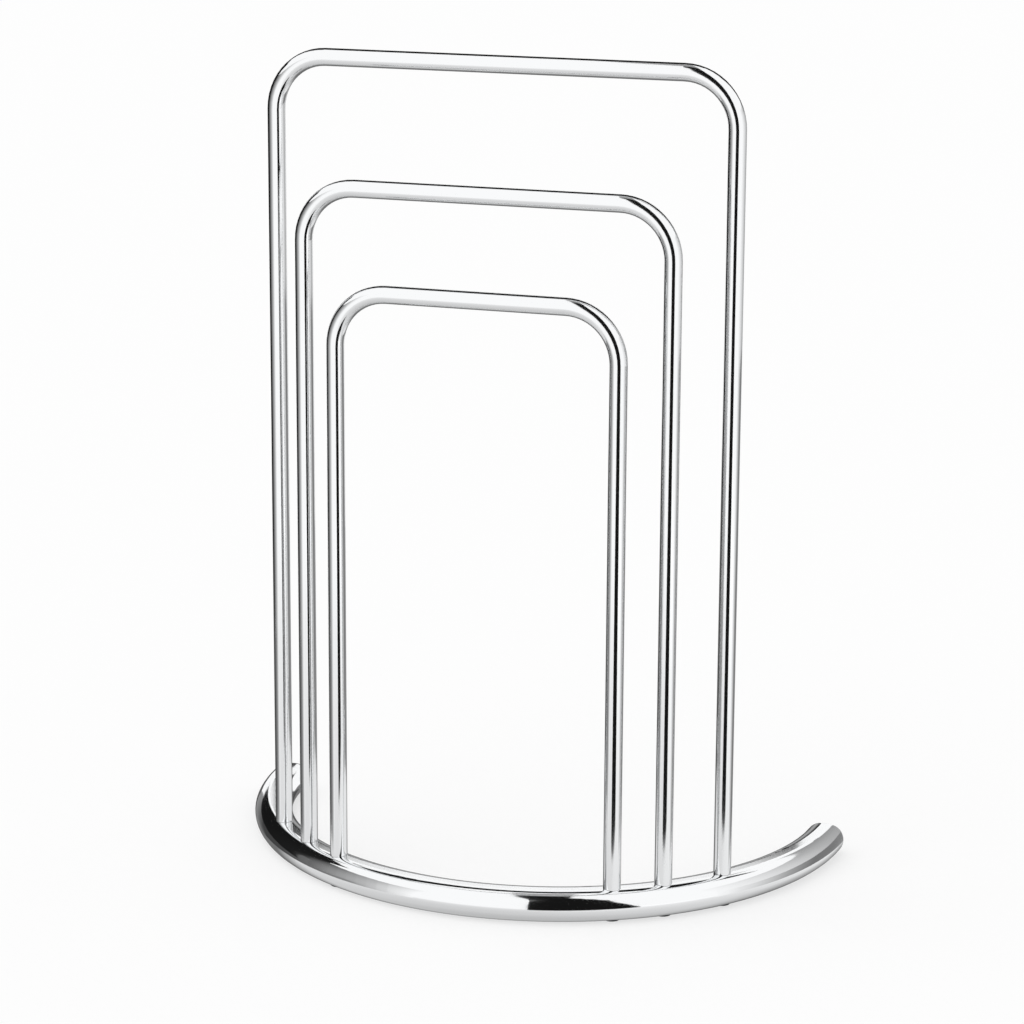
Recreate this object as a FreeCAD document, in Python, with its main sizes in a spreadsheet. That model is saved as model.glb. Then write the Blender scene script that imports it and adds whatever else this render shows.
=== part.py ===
import FreeCAD, Part
import math
import os

import Sketcher
from FreeCAD import Vector

# Freestanding towel stand, in millimetres.
# Three nested hoops of bent round tube stand on one half-ring of flat-sided oval tube.
# The origin is on the floor, under the middle of the overall box.
# +Z is up, X runs along the towel bars and the half-ring bulges towards -Y, the front.

SIZES = {
    "overall_width": 580,  # outside of the half-ring, side to side
    "overall_depth": 290,  # front of the half-ring to the tips of its end caps
    "overall_height": 760,  # floor to the top of the tall hoop
    "middle_height": 650,
    "small_height": 562,
    "tall_width": 428,  # between the centre lines of a hoop's two legs
    "middle_width": 342,
    "small_width": 262,
    "hoop_tube": 16,  # outside diameter
    "hoop_wall": 1.2,
    "bend_radius": 48,  # on the centre line of the hoop's tube
    "base_height": 29,  # height of the oval tube, which is two half-rounds and two flats
    "base_flat": 7,
    "base_wall": 1.5,
    "cap_length": 12,  # the part of an end cap that shows
    "cap_round": 8,  # radius of its rounded rim
    "spigot_length": 8,  # the part of an end cap inside the tube
    "spigot_gap": 0.25,  # room for the tube's own curve over the spigot
    "saddle_gap": 0.15,  # between a leg's saddle cut, or a foot, and the oval tube
    "foot_proud": 0.6,  # how far the feet stand out below the oval tube
    "foot_width": 15,
    "foot_rim": 3,  # height of a foot's flange before it is cut to the tube's curve
    "access_hole": 13,  # in the oval tube's underside, closed by a foot
    "stem_gap": 0.1,
    "stem_rise": 2,  # how far a foot's stem stands inside the tube
    "end_foot_setback": 30,  # from an end of the half-ring, along its centre line
    "insert_length": 25,  # threaded insert inside each leg's lower end
    "insert_gap": 0.1,
    "insert_lift": 0.4,  # above the crown of the oval tube
    "insert_bevel": 0.6,
    "screw_width": 6,
    "screw_length": 22,
    "screw_gap": 0.2,  # around the screw's shank in every hole that it passes
    "screw_bevel": 0.8,
    "head_width": 10,
    "head_height": 5,
    "head_bevel": 0.6,
    "key_width": 4,  # across the flats of the hexagon socket
    "key_depth": 2.5,
    "washer_width": 12,
    "washer_height": 1.6,
    "washer_seat": 0.05,
}

HOOPS = {"tall": "sizes.overall_height", "middle": "sizes.middle_height", "small": "sizes.small_height"}
SIDES = {"left": -1, "right": 1}

# Places and sizes that follow from the ones above, as expressions
BASE_ROUND = "(sizes.base_height / 2)"
RING_RADIUS = f"(sizes.overall_width / 2 - {BASE_ROUND} - sizes.base_flat / 2)"
RING_Y = "(sizes.overall_width / 2 - sizes.overall_depth / 2)"
TUBE_Z = f"(sizes.foot_proud + {BASE_ROUND})"
CROWN_Z = "(sizes.foot_proud + sizes.base_height)"
CAP_ROUND = f"min(sizes.cap_round; {BASE_ROUND} * 0.9; sizes.cap_length * 0.9)"
# The half-ring ends where the rounded rim of its cap just reaches the back of the overall depth
RIM_RADIUS = f"({RING_RADIUS} - {BASE_ROUND} - sizes.base_flat / 2 + {CAP_ROUND})"
RIM_REACH = f"(sizes.cap_length - {CAP_ROUND})"
END_ANGLE = (
    f"(acos(({RING_Y} + {CAP_ROUND} - sizes.overall_depth / 2) / sqrt({RIM_RADIUS}^2 + {RIM_REACH}^2))"
    f" - atan({RIM_REACH} / {RIM_RADIUS}))"
)
END_FOOT_ANGLE = f"({END_ANGLE} - sizes.end_foot_setback / {RING_RADIUS} * 180 / pi * 1deg)"
BAR_RADIUS = "(sizes.hoop_tube / 2)"
BORE_RADIUS = f"({BAR_RADIUS} - sizes.hoop_wall)"
SHANK_HOLE = "(sizes.screw_width / 2 + sizes.screw_gap)"
INNER_ROUND = f"({BASE_ROUND} - sizes.base_wall)"
WASHER_OVERHANG = "max(sizes.washer_width / 2 - sizes.base_flat / 2; 0)"
WASHER_TOP = f"({TUBE_Z} + sqrt({INNER_ROUND}^2 - {WASHER_OVERHANG}^2) - sizes.washer_seat)"
HEAD_TOP = f"({WASHER_TOP} - sizes.washer_height)"


def hoop_angle(name):
    """Angle round the half-ring, from its front, at which a hoop's leg stands."""
    return f"asin(sizes.{name}_width / 2 / {RING_RADIUS})"


def depth_on_ring(angle):
    """How far in front of the half-ring's centre a point of its centre line is."""
    return f"({RING_RADIUS} * cos({angle}))"


FOOT_ANGLES = {name: hoop_angle(name) for name in HOOPS}
FOOT_ANGLES["end"] = END_FOOT_ANGLE

doc = FreeCAD.newDocument("towel_stand")
sheet = doc.addObject("Spreadsheet::Sheet", "sizes")
for row, (alias, number) in enumerate(SIZES.items(), start=1):
    sheet.set(f"A{row}", alias)
    sheet.set(f"B{row}", str(number))
    sheet.setAlias(f"B{row}", alias)
doc.recompute()


def value(expression):
    """The number an expression gives now, for a first guess at a sketch's geometry."""
    result = sheet.evalExpression(expression.replace("sizes.", ""))
    return float(getattr(result, "Value", result))


def new_body(label):
    body = doc.addObject("PartDesign::Body", label)
    body.Label = label
    return body


def new_sketch(body, name, role, offset=None, shift=None):
    """Sketch on one of the body's origin planes, moved along its normal or its own X."""
    plane = next(f for f in body.Origin.OriginFeatures if f.Role == role)
    sketch = body.newObject("Sketcher::SketchObject", name)
    sketch.AttachmentSupport = [(plane, "")]
    sketch.MapMode = "FlatFace"
    if offset:
        sketch.setExpression("AttachmentOffset.Base.z", offset)
    if shift:
        sketch.setExpression("AttachmentOffset.Base.x", shift)
    return sketch


def bind(sketch, kind, items, expression):
    """Adds a dimension to the sketch and ties it to the sizes."""
    index = sketch.addConstraint(Sketcher.Constraint(kind, *items, value(expression)))
    name = f"dim{index}"
    sketch.renameConstraint(index, name)
    sketch.setExpression(f"Constraints.{name}", expression)


def draw_circle(sketch, radius, x="0", y="0"):
    centre = Vector(value(x), value(y), 0)
    circle = sketch.addGeometry(Part.Circle(centre, Vector(0, 0, 1), value(radius)), False)
    bind(sketch, "Radius", (circle,), radius)
    bind(sketch, "DistanceX", (-1, 1, circle, 3), x)
    bind(sketch, "DistanceY", (-1, 1, circle, 3), y)


def draw_oval(sketch, radius, x="0", y="0"):
    """Two half-rounds of the radius, joined above and below by the base tube's flats."""
    cx, cy, r, half = value(x), value(y), value(radius), value("sizes.base_flat / 2")
    up = Vector(0, 0, 1)
    quarter = math.pi / 2
    right_round = Part.Circle(Vector(cx + half, cy, 0), up, r)
    left_round = Part.Circle(Vector(cx - half, cy, 0), up, r)
    right, top, left, bottom = sketch.addGeometry(
        [
            Part.ArcOfCircle(right_round, -quarter, quarter),
            Part.LineSegment(Vector(cx + half, cy + r, 0), Vector(cx - half, cy + r, 0)),
            Part.ArcOfCircle(left_round, quarter, 3 * quarter),
            Part.LineSegment(Vector(cx - half, cy - r, 0), Vector(cx + half, cy - r, 0)),
        ],
        False,
    )
    for one, other in ((right, top), (top, left), (left, bottom), (bottom, right)):
        sketch.addConstraint(Sketcher.Constraint("Tangent", one, 2, other, 1))
    sketch.addConstraint(Sketcher.Constraint("Horizontal", top))
    sketch.addConstraint(Sketcher.Constraint("Equal", right, left))
    bind(sketch, "Radius", (right,), radius)
    bind(sketch, "DistanceX", (-1, 1, right, 3), f"{x} + sizes.base_flat / 2")
    bind(sketch, "DistanceX", (-1, 1, left, 3), f"{x} - sizes.base_flat / 2")
    bind(sketch, "DistanceY", (-1, 1, right, 3), y)


def add_pad(body, sketch, length, backwards=False):
    pad = body.newObject("PartDesign::Pad", f"{sketch.Name}_pad")
    pad.Profile = sketch
    pad.Reversed = backwards
    pad.setExpression("Length", length)
    return pad


def add_pocket(body, sketch, length, backwards=False):
    pocket = body.newObject("PartDesign::Pocket", f"{sketch.Name}_pocket")
    pocket.Profile = sketch
    pocket.Reversed = backwards
    pocket.setExpression("Length", length)
    return pocket


def add_turn(body, kind, sketch, angle):
    """Revolution or Groove of a sketch about its own vertical axis."""
    turn = body.newObject(f"PartDesign::{kind}", f"{sketch.Name}_turn")
    turn.Profile = sketch
    turn.ReferenceAxis = (sketch, ["V_Axis"])
    turn.Midplane = True
    turn.setExpression("Angle", angle)
    return turn


def dress_edges(body, kind, feature, size, picks):
    """Fillet or Chamfer on the feature's edges for which picks is true."""
    doc.recompute()
    edges = feature.Shape.Edges
    names = [f"Edge{i}" for i, edge in enumerate(edges, start=1) if picks(edge)]
    dress = body.newObject(f"PartDesign::{kind}", f"{feature.Name}_{kind.lower()}")
    dress.Base = (feature, names)
    dress.setExpression("Radius" if kind == "Fillet" else "Size", size)
    return dress


def lies_at(axis, place):
    """Test that all of an edge is at one place along an axis."""
    low, high = f"{axis}Min", f"{axis}Max"
    return lambda edge: (
        abs(getattr(edge.BoundBox, low) - place) < 0.01
        and abs(getattr(edge.BoundBox, high) - place) < 0.01
    )


def widest_at(axis, place, radius):
    """Test for the round edge of one radius at one place along an axis."""
    at_place = lies_at(axis, place)
    return lambda edge: (
        at_place(edge) and hasattr(edge.Curve, "Radius") and abs(edge.Curve.Radius - radius) < 0.01
    )


def place_on_ring(body, side, angle, z, turned=False):
    """Puts a body on the half-ring's centre line, turned so that its X points outwards."""
    body.setExpression("Placement.Base.x", f"{side} * {RING_RADIUS} * sin({angle})")
    body.setExpression("Placement.Base.y", f"{RING_Y} - {depth_on_ring(angle)}")
    body.setExpression("Placement.Base.z", z)
    if turned:
        body.Placement.Rotation = FreeCAD.Rotation(Vector(0, 0, 1), 1)
        body.setExpression("Placement.Rotation.Angle", f"{side} * {angle} - 90deg")


def make_base_tube():
    """Half-ring of oval tube, with a screw hole over an access hole at every leg."""
    body = new_body("base_tube")
    body.setExpression("Placement.Base.y", RING_Y)
    section = new_sketch(body, "base_section", "YZ_Plane")
    draw_oval(section, BASE_ROUND, f"-{RING_RADIUS}", TUBE_Z)
    draw_oval(section, INNER_ROUND, f"-{RING_RADIUS}", TUBE_Z)
    add_turn(body, "Revolution", section, f"2 * {END_ANGLE}")
    upper = new_sketch(body, "base_screw_holes", "XY_Plane", TUBE_Z)
    lower = new_sketch(body, "base_access_holes", "XY_Plane", TUBE_Z)
    for name, angle in FOOT_ANGLES.items():
        for side in SIDES.values():
            x = f"{side} * {RING_RADIUS} * sin({angle})"
            y = f"-{depth_on_ring(angle)}"
            draw_circle(lower, "sizes.access_hole / 2", x, y)
            if name in HOOPS:
                draw_circle(upper, SHANK_HOLE, x, y)
    add_pocket(body, upper, "sizes.base_height", backwards=True)
    add_pocket(body, lower, "sizes.base_height")
    return body


def make_end_cap(name, side):
    """Closes one end of the half-ring: a rounded plug with a spigot inside the tube."""
    body = new_body(name)
    body.setExpression("Placement.Base.x", f"{side} * {RING_RADIUS} * sin({END_ANGLE})")
    body.setExpression("Placement.Base.y", f"{RING_Y} - {depth_on_ring(END_ANGLE)}")
    body.setExpression("Placement.Base.z", TUBE_Z)
    body.Placement.Rotation = FreeCAD.Rotation(Vector(0, 0, 1), 1)
    body.setExpression("Placement.Rotation.Angle", f"{side} * ({END_ANGLE} - 90deg)")
    head = new_sketch(body, f"{name}_head", "XZ_Plane")
    draw_oval(head, BASE_ROUND)
    shown = add_pad(body, head, "sizes.cap_length", backwards=True)
    rim = lies_at("Y", value("sizes.cap_length"))
    dress_edges(body, "Fillet", shown, CAP_ROUND, rim)
    spigot = new_sketch(body, f"{name}_spigot", "XZ_Plane")
    draw_oval(spigot, f"{INNER_ROUND} - sizes.spigot_gap")
    add_pad(body, spigot, "sizes.spigot_length")
    return body


def make_hoop(name, height):
    """Inverted U of round tube, its legs cut underneath to sit on the oval tube."""
    body = new_body(f"hoop_{name}")
    angle = FOOT_ANGLES[name]
    body.setExpression("Placement.Base.y", f"{RING_Y} - {depth_on_ring(angle)}")
    half = f"(sizes.{name}_width / 2)"
    bar = f"({height} - {BAR_RADIUS})"
    x, low, top, bend = value(half), value(TUBE_Z), value(bar), value("sizes.bend_radius")
    path = new_sketch(body, f"hoop_{name}_path", "XZ_Plane")
    up = Vector(0, 0, 1)
    left_bend = Part.Circle(Vector(bend - x, top - bend, 0), up, bend)
    right_bend = Part.Circle(Vector(x - bend, top - bend, 0), up, bend)
    left, corner, across, turn, right = path.addGeometry(
        [
            Part.LineSegment(Vector(-x, low, 0), Vector(-x, top - bend, 0)),
            Part.ArcOfCircle(left_bend, math.pi / 2, math.pi),
            Part.LineSegment(Vector(bend - x, top, 0), Vector(x - bend, top, 0)),
            Part.ArcOfCircle(right_bend, 0, math.pi / 2),
            Part.LineSegment(Vector(x, top - bend, 0), Vector(x, low, 0)),
        ],
        False,
    )
    for one, end, other, start in (
        (left, 2, corner, 2),
        (corner, 1, across, 1),
        (across, 2, turn, 2),
        (turn, 1, right, 1),
    ):
        path.addConstraint(Sketcher.Constraint("Tangent", one, end, other, start))
    path.addConstraint(Sketcher.Constraint("Vertical", left))
    path.addConstraint(Sketcher.Constraint("Horizontal", across))
    path.addConstraint(Sketcher.Constraint("Vertical", right))
    path.addConstraint(Sketcher.Constraint("Equal", corner, turn))
    bind(path, "Radius", (corner,), "sizes.bend_radius")
    bind(path, "DistanceX", (-1, 1, left, 1), f"-{half}")
    bind(path, "DistanceX", (-1, 1, right, 2), half)
    bind(path, "DistanceY", (-1, 1, left, 1), TUBE_Z)
    bind(path, "DistanceY", (-1, 1, right, 2), TUBE_Z)
    bind(path, "DistanceY", (-1, 1, across, 1), bar)
    section = new_sketch(body, f"hoop_{name}_section", "XY_Plane", TUBE_Z)
    draw_circle(section, BAR_RADIUS, f"-{half}")
    draw_circle(section, BORE_RADIUS, f"-{half}")
    pipe = body.newObject("PartDesign::AdditivePipe", f"hoop_{name}_pipe")
    pipe.Profile = section
    pipe.Spine = path
    saddle = new_sketch(body, f"hoop_{name}_saddle", "XZ_Plane", f"-{depth_on_ring(angle)}")
    draw_oval(saddle, f"{BASE_ROUND} + sizes.saddle_gap", RING_RADIUS, TUBE_Z)
    add_turn(body, "Groove", saddle, "360deg")
    return body


def make_insert(name, side, angle):
    """Threaded bush fixed inside a leg's lower end, which the screw pulls down."""
    body = new_body(name)
    place_on_ring(body, side, angle, f"{CROWN_Z} + sizes.insert_lift")
    ring = new_sketch(body, f"{name}_ring", "XY_Plane")
    outside = f"{BORE_RADIUS} - sizes.insert_gap"
    draw_circle(ring, outside)
    draw_circle(ring, SHANK_HOLE)
    bush = add_pad(body, ring, "sizes.insert_length")
    rim = widest_at("Z", value("sizes.insert_length"), value(outside))
    dress_edges(body, "Chamfer", bush, "sizes.insert_bevel", rim)
    return body


def make_washer(name, side, angle):
    """Flat washer that spreads the screw's pull over the inside of the oval tube's crown."""
    body = new_body(name)
    place_on_ring(body, side, angle, f"{WASHER_TOP} - sizes.washer_height")
    ring = new_sketch(body, f"{name}_ring", "XY_Plane")
    draw_circle(ring, "sizes.washer_width / 2")
    draw_circle(ring, SHANK_HOLE)
    add_pad(body, ring, "sizes.washer_height")
    return body


def make_screw(name, side, angle):
    """Socket-head screw, turned from below through the access hole."""
    body = new_body(name)
    place_on_ring(body, side, angle, f"{HEAD_TOP} - sizes.head_height")
    head = new_sketch(body, f"{name}_head", "XY_Plane")
    draw_circle(head, "sizes.head_width / 2")
    cylinder = add_pad(body, head, "sizes.head_height")
    rim = widest_at("Z", 0, value("sizes.head_width / 2"))
    dress_edges(body, "Chamfer", cylinder, "sizes.head_bevel", rim)
    shank = new_sketch(body, f"{name}_shank", "XY_Plane", "sizes.head_height")
    draw_circle(shank, "sizes.screw_width / 2")
    rod = add_pad(body, shank, "sizes.screw_length")
    tip = widest_at("Z", value("sizes.head_height + sizes.screw_length"), value("sizes.screw_width / 2"))
    dress_edges(body, "Chamfer", rod, "sizes.screw_bevel", tip)
    socket = new_sketch(body, f"{name}_socket", "XY_Plane")
    draw_hexagon(socket, "sizes.key_width")
    add_pocket(body, socket, "sizes.key_depth", backwards=True)
    return body


def draw_hexagon(sketch, across_flats):
    corner = value(across_flats) / math.sqrt(3)
    points = [
        Vector(corner * math.cos(math.radians(60 * i)), corner * math.sin(math.radians(60 * i)), 0)
        for i in range(6)
    ]
    sides = [
        sketch.addGeometry(Part.LineSegment(points[i], points[(i + 1) % 6]), False) for i in range(6)
    ]
    circle = sketch.addGeometry(Part.Circle(Vector(0, 0, 0), Vector(0, 0, 1), corner), True)
    sketch.addConstraint(Sketcher.Constraint("Coincident", circle, 3, -1, 1))
    for i, side in enumerate(sides):
        sketch.addConstraint(Sketcher.Constraint("Coincident", side, 2, sides[(i + 1) % 6], 1))
        sketch.addConstraint(Sketcher.Constraint("PointOnObject", side, 1, circle))
        if i:
            sketch.addConstraint(Sketcher.Constraint("Equal", sides[0], side))
    sketch.addConstraint(Sketcher.Constraint("PointOnObject", sides[0], 1, -1))
    bind(sketch, "Radius", (circle,), f"{across_flats} / sqrt(3)")


def make_foot(name, side, angle):
    """Soft plug in an access hole: a flange under the oval tube and a stem inside it."""
    body = new_body(name)
    place_on_ring(body, side, angle, "0", turned=True)
    flange = new_sketch(body, f"{name}_flange", "XY_Plane")
    draw_circle(flange, "sizes.foot_width / 2")
    add_pad(body, flange, "sizes.foot_proud + sizes.foot_rim")
    seat = new_sketch(body, f"{name}_seat", "XZ_Plane", shift=f"-{RING_RADIUS}")
    draw_oval(seat, f"{BASE_ROUND} + sizes.saddle_gap", RING_RADIUS, TUBE_Z)
    add_turn(body, "Groove", seat, "360deg")
    stem = new_sketch(body, f"{name}_stem", "XY_Plane")
    draw_circle(stem, "sizes.access_hole / 2 - sizes.stem_gap")
    add_pad(body, stem, "sizes.foot_proud + sizes.base_wall + sizes.stem_rise")
    return body


def main():
    parts = [make_base_tube()]
    for side_name, side in SIDES.items():
        parts.append(make_end_cap(f"end_cap_{side_name}", side))
    for name, height in HOOPS.items():
        parts.append(make_hoop(name, height))
        for side_name, side in SIDES.items():
            place = f"{name}_{side_name}"
            parts.append(make_insert(f"insert_{place}", side, FOOT_ANGLES[name]))
            parts.append(make_washer(f"washer_{place}", side, FOOT_ANGLES[name]))
            parts.append(make_screw(f"screw_{place}", side, FOOT_ANGLES[name]))
    for name, angle in FOOT_ANGLES.items():
        for side_name, side in SIDES.items():
            parts.append(make_foot(f"foot_{name}_{side_name}", side, angle))
    doc.recompute()
    for item in doc.Objects:
        if "Invalid" in item.State or "Error" in item.State:
            raise RuntimeError(f"{item.Name} did not build: {item.State}")
    for body in parts:
        if body.Shape.isNull() or not body.Shape.isValid() or len(body.Shape.Solids) != 1:
            raise RuntimeError(f"{body.Label} is not one valid solid")
    os.makedirs("parts", exist_ok=True)
    for body in parts:
        body.Shape.exportStep(os.path.join("parts", f"{body.Label}.step"))
        box = body.Shape.optimalBoundingBox(False)
        print(
            f"{body.Label}: volume {body.Shape.Volume:.1f},"
            f" x {box.XMin:.2f} to {box.XMax:.2f},"
            f" y {box.YMin:.2f} to {box.YMax:.2f},"
            f" z {box.ZMin:.2f} to {box.ZMax:.2f}"
        )


main()
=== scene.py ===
"""Looks and studio for a freestanding towel stand: three chrome hoops on a curved chrome base."""

import math

import bmesh
import bpy
from mathutils import Matrix, Vector

bl_info = {
    "name": "Towel Stand Looks",
    "version": (1, 0, 0),
    "blender": (4, 5, 0),
    "location": "View3D > Sidebar > Towel Stand",
    "description": "Finishes a three-hoop chrome towel stand and sets up a pale studio",
    "category": "Object",
}

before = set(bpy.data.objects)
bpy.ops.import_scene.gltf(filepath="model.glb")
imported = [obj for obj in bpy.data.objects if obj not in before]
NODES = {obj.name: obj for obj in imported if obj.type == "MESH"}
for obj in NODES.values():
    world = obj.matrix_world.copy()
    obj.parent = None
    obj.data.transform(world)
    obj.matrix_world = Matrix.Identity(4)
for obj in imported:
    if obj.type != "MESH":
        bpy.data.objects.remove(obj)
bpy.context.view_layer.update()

MM = 0.001
PICTURE_PIXELS = 1024.0
SENSOR_WIDTH = 36.0

# Nearly all of a noise texture's values lie between these.
NOISE_LOW, NOISE_HIGH = 0.3, 0.7

BASE_PIECES = ["base_tube"]
CAP_PIECES = ["end_cap_left", "end_cap_right"]
HOOP_PIECES = ["hoop_tall", "hoop_middle", "hoop_small"]
HOOPS = ["tall", "middle", "small"]
SIDES = ["left", "right"]
HARDWARE_PIECES = [
    f"{kind}_{hoop}_{side}"
    for kind in ("insert", "washer", "screw")
    for hoop in HOOPS
    for side in SIDES
]
FOOT_PIECES = [f"foot_{place}_{side}" for place in HOOPS + ["end"] for side in SIDES]


# ---------------------------------------------------------------- helpers


def linear(hex_colour):
    """An sRGB hex colour such as "#F4F5F6" as linear RGBA."""
    digits = hex_colour.lstrip("#")
    channels = [int(digits[i : i + 2], 16) / 255.0 for i in (0, 2, 4)]
    return [
        c / 12.92 if c <= 0.04045 else ((c + 0.055) / 1.055) ** 2.4 for c in channels
    ] + [1.0]


def add_node(tree, kind, settings=None, links=None):
    """Adds a node; settings go to its properties or sockets, links are (socket, source output)."""
    node = tree.nodes.new(kind)
    for key, value in (settings or {}).items():
        if isinstance(key, int) or key in node.inputs:
            node.inputs[key].default_value = value
        else:
            setattr(node, key, value)
    for socket, source in (links or {}).items():
        tree.links.new(source, node.inputs[socket])
    return node


def new_material(name):
    """An empty node material and its tree."""
    material = bpy.data.materials.new(name)
    material.use_nodes = True
    material.node_tree.nodes.clear()
    return material, material.node_tree


def dress(names, material):
    """Gives every CAD node in names this one material."""
    for name in names:
        slots = NODES[name].data.materials
        if not slots:
            slots.append(material)
        for index in range(len(slots)):
            slots[index] = material


def cells_per_metre(size_mm):
    """Noise scale whose features are about size_mm wide, on Object coordinates in metres."""
    return 1.0 / (size_mm * MM)


# ---------------------------------------------------------------- materials


CHROME_PATCH_MM = 35.0
ZINC_SPANGLE_MM = 2.0
ZINC_DARK_SHARE = 0.82
RUBBER_GRAIN_MM = 0.5
RUBBER_GRAIN_HEIGHT_MM = 0.05
RUBBER_TONE_LOW, RUBBER_TONE_HIGH = 0.8, 1.25


def shaded(hex_colour, share):
    """The hex colour as linear RGBA, made darker or lighter by share."""
    return [share * channel for channel in linear(hex_colour)[:3]] + [1.0]


def bright_chrome(name, colour, haze, wave_mm, wave_height_mm):
    """Bright chrome plate on polished tube: a near mirror with a trace of buffing haze."""
    material, tree = new_material(name)
    place = add_node(tree, "ShaderNodeTexCoord").outputs["Object"]
    # Buffing leaves broad clearer and hazier patches a few centimetres across.
    patches = add_node(
        tree,
        "ShaderNodeTexNoise",
        {"Scale": cells_per_metre(CHROME_PATCH_MM), "Detail": 3.0, "Roughness": 0.55},
        {"Vector": place},
    )
    clearest, haziest = haze
    haziness = add_node(
        tree,
        "ShaderNodeMapRange",
        {"From Min": NOISE_LOW, "From Max": NOISE_HIGH, "To Min": clearest, "To Max": haziest},
        {"Value": patches.outputs["Fac"]},
    )
    # The plate follows the drawn tube's slight waves, so long reflections swim a little.
    wave = add_node(
        tree,
        "ShaderNodeTexNoise",
        {"Scale": cells_per_metre(wave_mm), "Detail": 1.0, "Roughness": 0.4},
        {"Vector": place},
    )
    bump = add_node(
        tree,
        "ShaderNodeBump",
        {"Strength": 1.0, "Distance": wave_height_mm * MM},
        {"Height": wave.outputs["Fac"]},
    )
    shader = add_node(
        tree,
        "ShaderNodeBsdfPrincipled",
        {"Base Color": linear(colour), "Metallic": 1.0},
        {"Roughness": haziness.outputs["Result"], "Normal": bump.outputs["Normal"]},
    )
    add_node(
        tree,
        "ShaderNodeOutputMaterial",
        links={"Surface": shader.outputs["BSDF"]},
    )
    return material


def zinc_plate(name, colour):
    """Zinc plate on turned steel: a pale, softly mottled grey metal with a dull gleam."""
    material, tree = new_material(name)
    place = add_node(tree, "ShaderNodeTexCoord").outputs["Object"]
    # The zinc's crystals show as small patches, paler and duller by turns.
    spangle = add_node(
        tree,
        "ShaderNodeTexNoise",
        {"Scale": cells_per_metre(ZINC_SPANGLE_MM), "Detail": 4.0, "Roughness": 0.6},
        {"Vector": place},
    )
    tone = add_node(
        tree,
        "ShaderNodeValToRGB",
        links={"Fac": spangle.outputs["Fac"]},
    )
    tone.color_ramp.elements[0].color = shaded(colour, ZINC_DARK_SHARE)
    tone.color_ramp.elements[1].color = linear(colour)
    dullness = add_node(
        tree,
        "ShaderNodeMapRange",
        {"From Min": NOISE_LOW, "From Max": NOISE_HIGH, "To Min": 0.28, "To Max": 0.42},
        {"Value": spangle.outputs["Fac"]},
    )
    shader = add_node(
        tree,
        "ShaderNodeBsdfPrincipled",
        {"Metallic": 1.0},
        {"Base Color": tone.outputs["Color"], "Roughness": dullness.outputs["Result"]},
    )
    add_node(
        tree,
        "ShaderNodeOutputMaterial",
        links={"Surface": shader.outputs["BSDF"]},
    )
    return material


def moulded_rubber(name, colour):
    """Moulded thermoplastic rubber: dull dark grey with a fine spark-eroded grain."""
    material, tree = new_material(name)
    place = add_node(tree, "ShaderNodeTexCoord").outputs["Object"]
    # The mould's grain is about 0.2 mm; it is drawn at 0.5 mm so that it shows.
    grain = add_node(
        tree,
        "ShaderNodeTexNoise",
        {"Scale": cells_per_metre(RUBBER_GRAIN_MM), "Detail": 2.0, "Roughness": 0.6},
        {"Vector": place},
    )
    tone = add_node(
        tree,
        "ShaderNodeValToRGB",
        links={"Fac": grain.outputs["Fac"]},
    )
    tone.color_ramp.elements[0].color = shaded(colour, RUBBER_TONE_LOW)
    tone.color_ramp.elements[1].color = shaded(colour, RUBBER_TONE_HIGH)
    bump = add_node(
        tree,
        "ShaderNodeBump",
        {"Strength": 0.5, "Distance": RUBBER_GRAIN_HEIGHT_MM * MM},
        {"Height": grain.outputs["Fac"]},
    )
    shader = add_node(
        tree,
        "ShaderNodeBsdfPrincipled",
        {"Roughness": 0.72, "IOR": 1.5},
        {"Base Color": tone.outputs["Color"], "Normal": bump.outputs["Normal"]},
    )
    add_node(
        tree,
        "ShaderNodeOutputMaterial",
        links={"Surface": shader.outputs["BSDF"]},
    )
    return material


def grey_ramp(tree, place, tones):
    """A colour ramp along place; tones are (place, grey) pairs."""
    ramp = add_node(tree, "ShaderNodeValToRGB", links={"Fac": place})
    stops = ramp.color_ramp.elements
    while len(stops) < len(tones):
        stops.new(0.5)
    for stop, (position, grey) in zip(stops, tones):
        stop.position = position
        stop.color = (grey, grey, grey, 1.0)
    return ramp.outputs["Color"]


def card_paint(name, tones):
    """An even glow for a card seen only in reflections, shaded across by tones."""
    material, tree = new_material(name)
    across = add_node(
        tree,
        "ShaderNodeSeparateXYZ",
        links={"Vector": add_node(tree, "ShaderNodeTexCoord").outputs["UV"]},
    )
    light = add_node(
        tree,
        "ShaderNodeEmission",
        {"Strength": 1.0},
        {"Color": grey_ramp(tree, across.outputs["X"], tones)},
    )
    add_node(
        tree,
        "ShaderNodeOutputMaterial",
        links={"Surface": light.outputs["Emission"]},
    )
    return material


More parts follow.
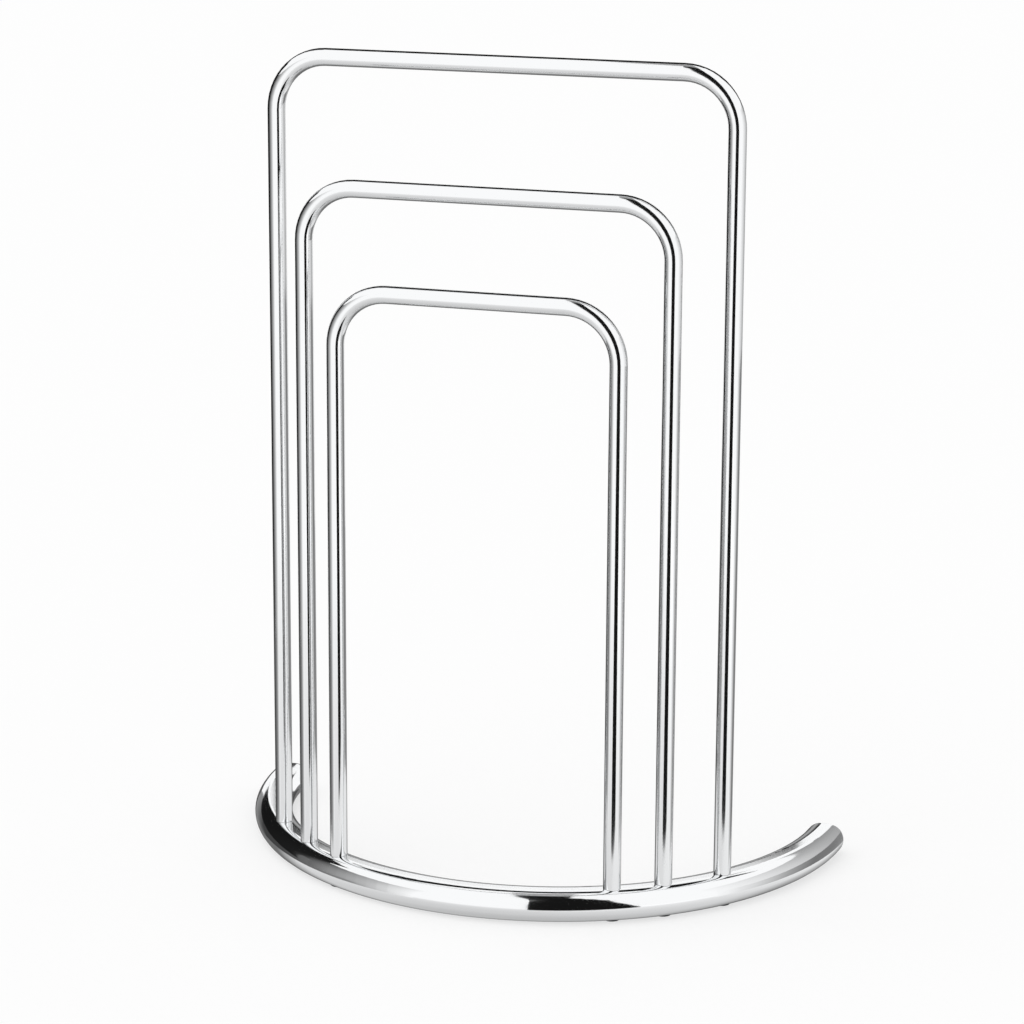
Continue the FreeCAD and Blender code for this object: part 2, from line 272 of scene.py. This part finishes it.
def ground_paint():
    """The ground as the metal sees it, a glowing card with painted shade: darker near the stand
    and darkest behind it.
    """
    material, tree = new_material("ground_shade_paint")
    place = add_node(tree, "ShaderNodeTexCoord").outputs["Object"]
    distance = add_node(tree, "ShaderNodeVectorMath", {"operation": "LENGTH"}, {0: place})
    spread = add_node(
        tree,
        "ShaderNodeMapRange",
        {"From Min": GROUND_DARK_RADIUS, "From Max": GROUND_HALF_SIZE},
        {"Value": distance.outputs["Value"]},
    )
    axes = add_node(tree, "ShaderNodeSeparateXYZ", links={0: place})
    # The fall to a dark patch behind rules off the underside of the bars.
    behind = add_node(
        tree,
        "ShaderNodeMapRange",
        {"From Min": 0.05, "From Max": 0.5, "To Min": 1.0, "To Max": 0.25},
        {"Value": axes.outputs["Y"]},
    )
    # To the right it is bright again, for the right end of the base.
    beside = add_node(
        tree,
        "ShaderNodeMapRange",
        {"From Min": 0.2, "From Max": 0.9},
        {"Value": axes.outputs["X"]},
    )
    strength = add_node(
        tree,
        "ShaderNodeMix",
        {3: GROUND_RIGHT_STRENGTH},
        {0: beside.outputs["Result"], 2: behind.outputs["Result"]},
    )
    light = add_node(
        tree,
        "ShaderNodeEmission",
        links={
            "Color": grey_ramp(tree, spread.outputs["Result"], GROUND_TONES),
            "Strength": strength.outputs[0],
        },
    )
    add_node(
        tree,
        "ShaderNodeOutputMaterial",
        links={"Surface": light.outputs["Emission"]},
    )
    return material


def floor_paint(colour, glow_colour):
    """Matt studio floor paint that keeps the shadow, lifted to near white in the picture."""
    material, tree = new_material("floor_paint")
    matt = add_node(tree, "ShaderNodeBsdfDiffuse", {"Color": linear(colour)})
    glow = add_node(
        tree, "ShaderNodeEmission", {"Color": linear(glow_colour), "Strength": 1.0}
    )
    share = add_node(
        tree,
        "ShaderNodeMath",
        {"operation": "MULTIPLY", 1: FLOOR_GLOW_SHARE},
        {0: add_node(tree, "ShaderNodeLightPath").outputs["Is Camera Ray"]},
    )
    mix = add_node(
        tree,
        "ShaderNodeMixShader",
        links={0: share.outputs[0], 1: matt.outputs[0], 2: glow.outputs[0]},
    )
    add_node(tree, "ShaderNodeOutputMaterial", links={"Surface": mix.outputs[0]})
    return material


# ---------------------------------------------------------------- settings


class StandFinishes(bpy.types.PropertyGroup):
    """Colours of the stand's metals and feet."""

    chrome: bpy.props.StringProperty(
        name="Chrome",
        description="Chrome plate on tubes and caps, sRGB hex",
        default="#FAFBFC",
    )
    zinc: bpy.props.StringProperty(
        name="Zinc",
        description="Zinc plated screws, washers and inserts, sRGB hex",
        default="#B9BDC0",
    )
    rubber: bpy.props.StringProperty(
        name="Rubber", description="Soft feet under the base, sRGB hex", default="#2A2B2D"
    )


class StudioSettings(bpy.types.PropertyGroup):
    """Camera, floor, backdrop and lights."""

    aim_height: bpy.props.FloatProperty(
        name="Aim Height",
        description="Height of the point the camera is aimed at",
        default=0.38,
        unit="LENGTH",
    )
    camera_turn: bpy.props.FloatProperty(
        name="Camera Turn",
        description="How far the camera stands to the right of the stand's front",
        default=math.radians(18.53),
        subtype="ANGLE",
    )
    camera_rise: bpy.props.FloatProperty(
        name="Camera Rise",
        description="How steeply the camera looks down",
        default=math.radians(13.35),
        subtype="ANGLE",
    )
    camera_roll: bpy.props.FloatProperty(
        name="Camera Roll",
        description="Tilt of the picture",
        default=math.radians(0.3),
        subtype="ANGLE",
    )
    camera_distance: bpy.props.FloatProperty(
        name="Camera Distance",
        description="From the aim point to the camera",
        default=3.0,
        unit="LENGTH",
    )
    focal_pixels: bpy.props.FloatProperty(
        name="Focal Length",
        description="Focal length in pixels of a 1024 pixel picture",
        default=3303.6,
    )
    centre_x: bpy.props.FloatProperty(
        name="Picture Centre X",
        description="Where the aim point lands, in pixels from the left",
        default=508.3,
    )
    centre_y: bpy.props.FloatProperty(
        name="Picture Centre Y",
        description="Where the aim point lands, in pixels from the top",
        default=472.0,
    )
    backdrop: bpy.props.StringProperty(
        name="Backdrop", description="Colour behind the stand, sRGB hex", default="#FEFEFE"
    )
    floor: bpy.props.StringProperty(
        name="Floor", description="Matt paint of the floor, sRGB hex", default="#FBFBFB"
    )
    floor_glow: bpy.props.StringProperty(
        name="Floor Glow",
        description="Light added to the floor in the picture, sRGB hex",
        default="#FFFFFF",
    )
    sky_strength: bpy.props.FloatProperty(
        name="Sky Strength", description="Soft light from all around", default=0.77
    )
    key_strength: bpy.props.FloatProperty(
        name="Key Strength", description="Soft light from the front left", default=0.85
    )
    key_spread: bpy.props.FloatProperty(
        name="Key Spread",
        description="How wide the key light looks",
        default=math.radians(60),
        subtype="ANGLE",
    )


# ---------------------------------------------------------------- operators


class STAND_OT_base(bpy.types.Operator):
    """Chrome for the curved base tube"""

    bl_idname = "stand.base"
    bl_label = "Finish Base"

    def execute(self, context):
        finishes = context.scene.stand_finishes
        dress(
            BASE_PIECES,
            bright_chrome(
                "base_chrome_plate",
                finishes.chrome,
                haze=(0.06, 0.09),
                wave_mm=30.0,
                wave_height_mm=0.004,
            ),
        )
        return {"FINISHED"}


class STAND_OT_caps(bpy.types.Operator):
    """Chrome for the two rounded ends of the base"""

    bl_idname = "stand.caps"
    bl_label = "Finish End Caps"

    def execute(self, context):
        finishes = context.scene.stand_finishes
        dress(
            CAP_PIECES,
            bright_chrome(
                "cap_chrome_plate",
                finishes.chrome,
                haze=(0.06, 0.09),
                wave_mm=12.0,
                wave_height_mm=0.004,
            ),
        )
        return {"FINISHED"}


class STAND_OT_hoops(bpy.types.Operator):
    """Chrome for the three bent hoops"""

    bl_idname = "stand.hoops"
    bl_label = "Finish Hoops"

    def execute(self, context):
        finishes = context.scene.stand_finishes
        dress(
            HOOP_PIECES,
            bright_chrome(
                "hoop_chrome_plate",
                finishes.chrome,
                haze=(0.07, 0.1),
                wave_mm=25.0,
                wave_height_mm=0.003,
            ),
        )
        return {"FINISHED"}


class STAND_OT_hardware(bpy.types.Operator):
    """Zinc plate for the inserts, washers and screws inside the base"""

    bl_idname = "stand.hardware"
    bl_label = "Finish Hardware"

    def execute(self, context):
        dress(
            HARDWARE_PIECES,
            zinc_plate("zinc_plated_steel", context.scene.stand_finishes.zinc),
        )
        return {"FINISHED"}


class STAND_OT_feet(bpy.types.Operator):
    """Dark rubber for the eight feet"""

    bl_idname = "stand.feet"
    bl_label = "Finish Feet"

    def execute(self, context):
        dress(
            FOOT_PIECES,
            moulded_rubber("moulded_rubber", context.scene.stand_finishes.rubber),
        )
        return {"FINISHED"}


# ---------------------------------------------------------------- studio

FLOOR_HALF_SIZE = 40.0
FLOOR_GLOW_SHARE = 0.55
KEY_DIRECTION = (-0.35, -0.45, 1.0)

# The ground seen in the metal: a level glowing card below the floor, and the greys of its painted
# shade outwards.
GROUND_HALF_SIZE = 3.2
GROUND_DEPTH = -0.5
GROUND_DARK_RADIUS = 0.5
GROUND_RIGHT_STRENGTH = 1.1
GROUND_TONES = [(0.0, 0.5), (0.08, 0.62), (0.25, 0.68), (0.55, 0.78), (1.0, 1.0)]

# Greys of the reflection cards, from one edge to the other.
BLACK = [(0.0, 0.008), (1.0, 0.008)]
NEAR_BLACK = [(0.0, 0.012), (1.0, 0.012)]
FADE_TO_BLACK = [(0.0, 0.03), (0.15, 0.012), (1.0, 0.008)]
STRIP_TOP_TONES = [(0.0, 0.1), (0.12, 0.02), (0.3, 0.008), (1.0, 0.008)]
STRIP_ROOF_TONES = [(0.0, 0.008), (0.3, 0.012), (0.45, 0.3), (1.0, 0.35)]
DARK_EDGES = [
    (0.0, 0.05),
    (0.45, 0.12),
    (0.55, 0.35),
    (0.75, 0.35),
    (0.85, 0.03),
    (1.0, 0.03),
]

# The front strip stands this far towards the camera.
STRIP_AHEAD = 0.72

# Folded screens around the stand: lowest and highest edge, then (bearing, grey) at each fold.
# Bearings are degrees from straight behind the stand, growing to the right.
SCREEN_DISTANCE = 1.7
SCREENS = {
    "left_low": (-0.55, -0.2, [(-146, 0.95), (-132, 0.6), (-118, 0.25), (-98, 0.15)]),
    "left_rear": (-0.55, 0.4, [(-98, 0.15), (-80, 0.06), (-62, 0.05), (-44, 0.3)]),
    "left_gap": (-0.55, 0.0, [(-44, 0.1), (-30, 0.1)]),
    "left_high": (
        -0.2,
        1.2,
        [(-146, 0.95), (-128, 0.5), (-110, 0.27), (-98, 0.12), (-91, 0.03)],
    ),
    "right_low": (
        -0.55,
        0.2,
        [(8, 0.38), (40, 0.2), (54, 0.18), (68, 0.36), (84, 0.7), (100, 0.97)],
    ),
    "right_high": (0.2, 1.2, [(8, 0.3), (40, 0.45), (60, 0.62), (80, 0.8), (100, 0.97)]),
}

# Distance of the dark cards behind the stand.
BACK_DISTANCE = 1.6


def square(half_size, height):
    """Corners of a level square around the stand."""
    return [
        (-half_size, -half_size, height),
        (half_size, -half_size, height),
        (half_size, half_size, height),
        (-half_size, half_size, height),
    ]


def spot(bearing, distance, height):
    """A point by its bearing from straight behind the stand, in degrees to the right."""
    angle = math.radians(bearing)
    return Vector((math.sin(angle) * distance, math.cos(angle) * distance, height))


def plane_object(name, corners, material):
    """A stage object with one four-cornered face, its UV map running 0 to 1 across."""
    mesh = bpy.data.meshes.new(name)
    sheet = bmesh.new()
    face = sheet.faces.new([sheet.verts.new(corner) for corner in corners])
    across = sheet.loops.layers.uv.new("across")
    for loop, place in zip(face.loops, ((0, 0), (1, 0), (1, 1), (0, 1))):
        loop[across].uv = place
    sheet.to_mesh(mesh)
    sheet.free()
    mesh.materials.append(material)
    thing = bpy.data.objects.new(name, mesh)
    bpy.context.scene.collection.objects.link(thing)
    return thing


def only_in_reflections(card):
    """Hides a card from the camera and from the light, so that only the metal shows it."""
    card.visible_camera = False
    card.visible_diffuse = False
    card.visible_transmission = False
    card.visible_shadow = False


def reflection_card(name, corners, tones):
    """A card shaded by tones that only the metal sees."""
    card = plane_object(name, corners, card_paint(name + "_paint", tones))
    only_in_reflections(card)
    card.visible_volume_scatter = False


class STAND_OT_studio(bpy.types.Operator):
    """Pale floor, soft light, reflection cards and the camera"""

    bl_idname = "stand.studio"
    bl_label = "Set Up Studio"

    def execute(self, context):
        scene = context.scene
        studio = scene.stand_studio
        self.make_camera(scene, studio)
        self.make_world(scene, studio)
        self.make_floor(studio)
        self.make_light(scene, studio)
        self.make_front_strip(studio)
        self.make_back_cards()
        self.make_screens()
        self.make_ground_shade()
        scene.view_settings.view_transform = "Standard"
        return {"FINISHED"}

    def make_camera(self, scene, studio):
        turn, rise, roll = studio.camera_turn, studio.camera_rise, studio.camera_roll
        back = Vector(
            (
                math.sin(turn) * math.cos(rise),
                -math.cos(turn) * math.cos(rise),
                math.sin(rise),
            )
        )
        right = Vector((math.cos(turn), math.sin(turn), 0.0))
        up = back.cross(right)
        level_right = right * math.cos(roll) + up * math.sin(roll)
        level_up = up * math.cos(roll) - right * math.sin(roll)
        matrix = Matrix((level_right, level_up, back)).transposed().to_4x4()
        aim = Vector((0.0, 0.0, studio.aim_height))
        matrix.translation = aim + back * studio.camera_distance
        data = bpy.data.cameras.new("camera")
        data.sensor_width = SENSOR_WIDTH
        data.lens = studio.focal_pixels / PICTURE_PIXELS * SENSOR_WIDTH
        data.shift_x = (PICTURE_PIXELS / 2 - studio.centre_x) / PICTURE_PIXELS
        data.shift_y = (studio.centre_y - PICTURE_PIXELS / 2) / PICTURE_PIXELS
        data.clip_end = 100.0
        camera = bpy.data.objects.new("camera", data)
        camera.matrix_world = matrix
        scene.collection.objects.link(camera)
        scene.camera = camera

    def make_world(self, scene, studio):
        world = bpy.data.worlds.new("studio_world")
        scene.world = world
        world.use_nodes = True
        tree = world.node_tree
        tree.nodes.clear()
        rays = add_node(tree, "ShaderNodeLightPath").outputs
        seen = add_node(
            tree,
            "ShaderNodeMath",
            {"operation": "MAXIMUM"},
            {0: rays["Is Camera Ray"], 1: rays["Is Glossy Ray"]},
        )
        shown = add_node(
            tree,
            "ShaderNodeMath",
            {"operation": "MAXIMUM"},
            {0: seen.outputs[0], 1: rays["Is Transmission Ray"]},
        )
        light = add_node(
            tree,
            "ShaderNodeBackground",
            {"Color": linear("#FFFFFF"), "Strength": studio.sky_strength},
        )
        backdrop = add_node(
            tree,
            "ShaderNodeBackground",
            {"Color": linear(studio.backdrop), "Strength": 1.0},
        )
        mix = add_node(
            tree,
            "ShaderNodeMixShader",
            links={
                0: shown.outputs[0],
                1: light.outputs["Background"],
                2: backdrop.outputs["Background"],
            },
        )
        add_node(tree, "ShaderNodeOutputWorld", links={"Surface": mix.outputs[0]})

    def make_floor(self, studio):
        floor = plane_object(
            "floor",
            square(FLOOR_HALF_SIZE, 0.0),
            floor_paint(studio.floor, studio.floor_glow),
        )
        # The metal sees the ground shade below instead.
        floor.visible_glossy = False

    def make_light(self, scene, studio):
        data = bpy.data.lights.new("soft_key", "SUN")
        data.energy = studio.key_strength
        data.angle = studio.key_spread
        lamp = bpy.data.objects.new("soft_key", data)
        direction = Vector(KEY_DIRECTION).normalized()
        lamp.rotation_euler = direction.to_track_quat("Z", "Y").to_euler()
        lamp.visible_glossy = False
        scene.collection.objects.link(lamp)

    def make_front_strip(self, studio):
        """The black strip beside the camera draws the dark line down every tube."""
        turn = studio.camera_turn
        towards_camera = Vector((math.sin(turn), -math.cos(turn), 0.0))
        right = Vector((math.cos(turn), math.sin(turn), 0.0))
        low, middle, high, roof = -0.15, 0.7, 2.0, 2.3
        left_edge, right_edge = -0.09, 0.35
        top_left_edge, top_right_edge = -0.3, 0.2

        def at(side, height, ahead=STRIP_AHEAD):
            return towards_camera * ahead + right * side + Vector((0.0, 0.0, height))

        reflection_card(
            "front_strip",
            [
                at(left_edge, low),
                at(right_edge, low),
                at(right_edge, middle),
                at(left_edge, middle),
            ],
            BLACK,
        )
        # Its slanted top rounds off the dark patch on the front of the base.
        reflection_card(
            "front_strip_top",
            [
                at(left_edge, middle),
                at(right_edge, middle),
                at(top_right_edge, high),
                at(top_left_edge, high),
            ],
            STRIP_TOP_TONES,
        )
        # Its foot draws the patch out to a point.
        reflection_card(
            "front_strip_foot",
            [
                at(right_edge, low),
                at(0.47, low),
                at(0.42, 0.05),
                at(right_edge, 0.4),
            ],
            BLACK,
        )
        # A roof leads from it over the stand and softens the patch's upper edge.
        reflection_card(
            "front_strip_roof",
            [
                at(top_left_edge, high),
                at(-0.2, roof, -0.7),
                at(top_right_edge, roof, -0.7),
                at(top_right_edge, high),
            ],
            STRIP_ROOF_TONES,
        )

    def make_back_cards(self):
        """Dark cards behind draw the thin outlines and the base's black left end."""
        reflection_card(
            "back_left",
            [
                spot(-92, BACK_DISTANCE, -0.2),
                spot(-60, BACK_DISTANCE, 0.05),
                spot(-60, BACK_DISTANCE, 1.5),
                spot(-92, BACK_DISTANCE, 1.5),
            ],
            FADE_TO_BLACK,
        )
        reflection_card(
            "back_left_far",
            [
                spot(-60, BACK_DISTANCE, 0.05),
                spot(-36, BACK_DISTANCE, 0.42),
                spot(-36, BACK_DISTANCE, 1.3),
                spot(-60, BACK_DISTANCE, 1.5),
            ],
            BLACK,
        )
        # A far band high up draws the line along the top of the base.
        reflection_card(
            "back_band",
            [spot(-60, 9.0, 7.6), spot(8, 6.0, 5.8), spot(8, 6.0, 11.0), spot(-60, 9.0, 14.0)],
            NEAR_BLACK,
        )
        # A near one, above the tall hoop, draws it along the bars and round their bends.
        reflection_card(
            "back_high",
            [(-1.1, 0.55, 0.78), (0.6, 0.55, 0.78), (0.6, 0.55, 1.5), (-1.1, 0.55, 1.5)],
            NEAR_BLACK,
        )
        # Straight behind, a card with dark top and bottom edges outlines every piece.
        reflection_card(
            "back_middle",
            [
                spot(-30, SCREEN_DISTANCE, -0.65),
                spot(-30, SCREEN_DISTANCE, 0.65),
                spot(-4, SCREEN_DISTANCE, 0.65),
                spot(-4, SCREEN_DISTANCE, -0.65),
            ],
            DARK_EDGES,
        )

    def make_screens(self):
        """Shaded screens at both sides darken the edges of every upright tube."""
        for name, (low, high, folds) in SCREENS.items():
            for index, ((near, near_grey), (far, far_grey)) in enumerate(zip(folds, folds[1:])):
                reflection_card(
                    f"{name}_{index}",
                    [
                        spot(near, SCREEN_DISTANCE, low),
                        spot(far, SCREEN_DISTANCE, low),
                        spot(far, SCREEN_DISTANCE, high),
                        spot(near, SCREEN_DISTANCE, high),
                    ],
                    [(0.0, near_grey), (1.0, far_grey)],
                )

    def make_ground_shade(self):
        """Painted shade on the ground card: it darkens towards the stand, so undersides round off
        into grey.
        """
        only_in_reflections(
            plane_object("ground_shade", square(GROUND_HALF_SIZE, GROUND_DEPTH), ground_paint())
        )


class STAND_PT_panel(bpy.types.Panel):
    """Lists the stand's finishing steps"""

    bl_idname = "STAND_PT_panel"
    bl_label = "Towel Stand"
    bl_space_type = "VIEW_3D"
    bl_region_type = "UI"
    bl_category = "Towel Stand"

    def draw(self, context):
        layout = self.layout
        for step in STEPS:
            layout.operator(step.bl_idname)
        for group in (context.scene.stand_finishes, context.scene.stand_studio):
            for name in group.bl_rna.properties.keys():
                if name not in ("rna_type", "name"):
                    layout.prop(group, name)


STEPS = (
    STAND_OT_studio,
    STAND_OT_base,
    STAND_OT_caps,
    STAND_OT_hoops,
    STAND_OT_hardware,
    STAND_OT_feet,
)
CLASSES = (StandFinishes, StudioSettings) + STEPS + (STAND_PT_panel,)


def register():
    for cls in CLASSES:
        bpy.utils.register_class(cls)
    bpy.types.Scene.stand_finishes = bpy.props.PointerProperty(type=StandFinishes)
    bpy.types.Scene.stand_studio = bpy.props.PointerProperty(type=StudioSettings)


def unregister():
    del bpy.types.Scene.stand_studio
    del bpy.types.Scene.stand_finishes
    for cls in reversed(CLASSES):
        bpy.utils.unregister_class(cls)


def main():
    register()
    bpy.ops.stand.studio()
    bpy.ops.stand.base()
    bpy.ops.stand.caps()
    bpy.ops.stand.hoops()
    bpy.ops.stand.hardware()
    bpy.ops.stand.feet()


if __name__ == "__main__":
    main()
